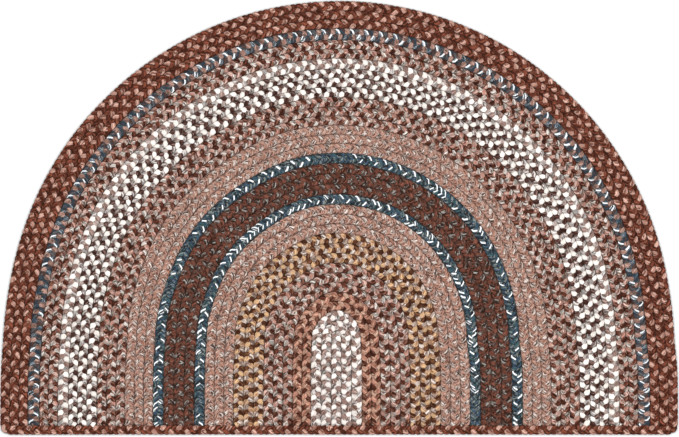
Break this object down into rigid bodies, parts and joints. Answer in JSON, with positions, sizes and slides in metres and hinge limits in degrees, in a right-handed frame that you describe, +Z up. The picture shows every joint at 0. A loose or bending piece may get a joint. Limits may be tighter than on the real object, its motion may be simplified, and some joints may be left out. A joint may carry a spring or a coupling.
{
  "type": "half-moon braided rug",
  "caption": "Flat half-moon rug of three-strand braids laced side by side in nested arches, with a braid binding along its straight edge.",
  "frame": {"origin": "middle of the rug's box, on the surface that it lies on", "axes": "+X along the straight edge, +Y from the straight edge towards the crown of the arch, +Z up, through the thickness"},
  "size_m": [1.1666, 0.7458, 0.0095],
  "materials": {
    "border": "matt braided yarn",
    "slate_edge": "matt braided yarn",
    "pink_mix": "matt braided yarn",
    "white_edge": "matt braided yarn",
    "white_mix": "matt braided yarn",
    "brown_mix": "matt braided yarn",
    "tweed": "matt braided yarn",
    "slate": "matt braided yarn",
    "rust_dark": "matt braided yarn",
    "gold_mix": "matt braided yarn",
    "grey_mix": "matt braided yarn",
    "rust_mix": "matt braided yarn",
    "pale_centre": "matt braided yarn"
  },
  "bodies": {
    "root": {"braid_01_border": "border", "braid_02_border": "border", "braid_03_border": "border", "braid_04_slate_edge": "slate_edge", "braid_05_pink_mix": "pink_mix", "braid_06_pink_mix": "pink_mix", "braid_07_white_edge": "white_edge", "braid_08_white_mix": "white_mix", "braid_09_white_mix": "white_mix", "braid_10_white_mix": "white_mix", "braid_11_brown_mix": "brown_mix", "braid_12_brown_mix": "brown_mix", "braid_13_brown_mix": "brown_mix", "braid_14_outer_tweed": "tweed", "braid_15_outer_tweed": "tweed", "braid_16_outer_tweed": "tweed", "braid_17_slate_outside": "slate", "braid_18_rust_dark": "rust_dark", "braid_19_rust_dark": "rust_dark", "braid_20_rust_dark": "rust_dark", "braid_21_slate_inside": "slate", "braid_22_inner_tweed": "tweed", "braid_23_inner_tweed": "tweed", "braid_24_inner_tweed": "tweed", "braid_25_gold_mix": "gold_mix", "braid_26_gold_mix": "gold_mix", "braid_27_gold_mix": "gold_mix", "braid_28_grey_mix": "grey_mix", "braid_29_grey_mix": "grey_mix", "braid_30_grey_mix": "grey_mix", "braid_31_rust_mix": "rust_mix", "braid_32_rust_mix": "rust_mix", "braid_33_pale_centre": "pale_centre", "braid_34_pale_centre": "pale_centre", "braid_35_centre": "pale_centre"}
  },
  "joints": []
}
